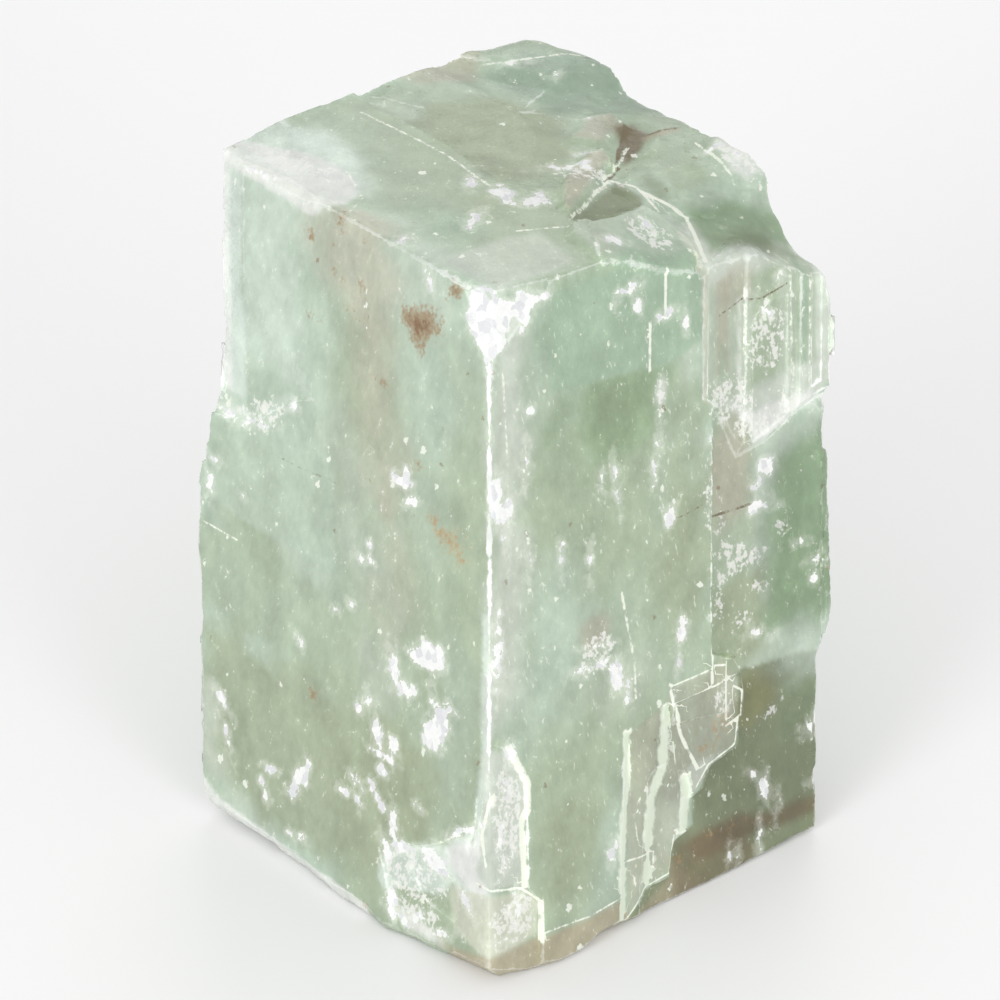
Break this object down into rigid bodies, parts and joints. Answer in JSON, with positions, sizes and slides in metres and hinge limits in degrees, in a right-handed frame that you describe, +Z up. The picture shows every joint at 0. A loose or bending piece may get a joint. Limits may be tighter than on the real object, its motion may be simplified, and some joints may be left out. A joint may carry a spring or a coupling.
{
  "type": "calcite crystal",
  "caption": "Translucent green calcite cleavage rhomb with a broken top, thin stepped layers and bruised edges, standing on its base.",
  "frame": {"origin": "on the base, at the middle of the base of the unbroken rhomb", "axes": "+Z up, square to the base; -Y towards the front edge; +X to the right of that edge, seen from the front"},
  "size_m": [0.0736, 0.0794, 0.0801],
  "materials": {
    "calcite": "translucent pale green, glassy cleavage faces with white bruises and rusty stains"
  },
  "bodies": {
    "root": {"calcite_crystal": "calcite"}
  },
  "joints": []
}
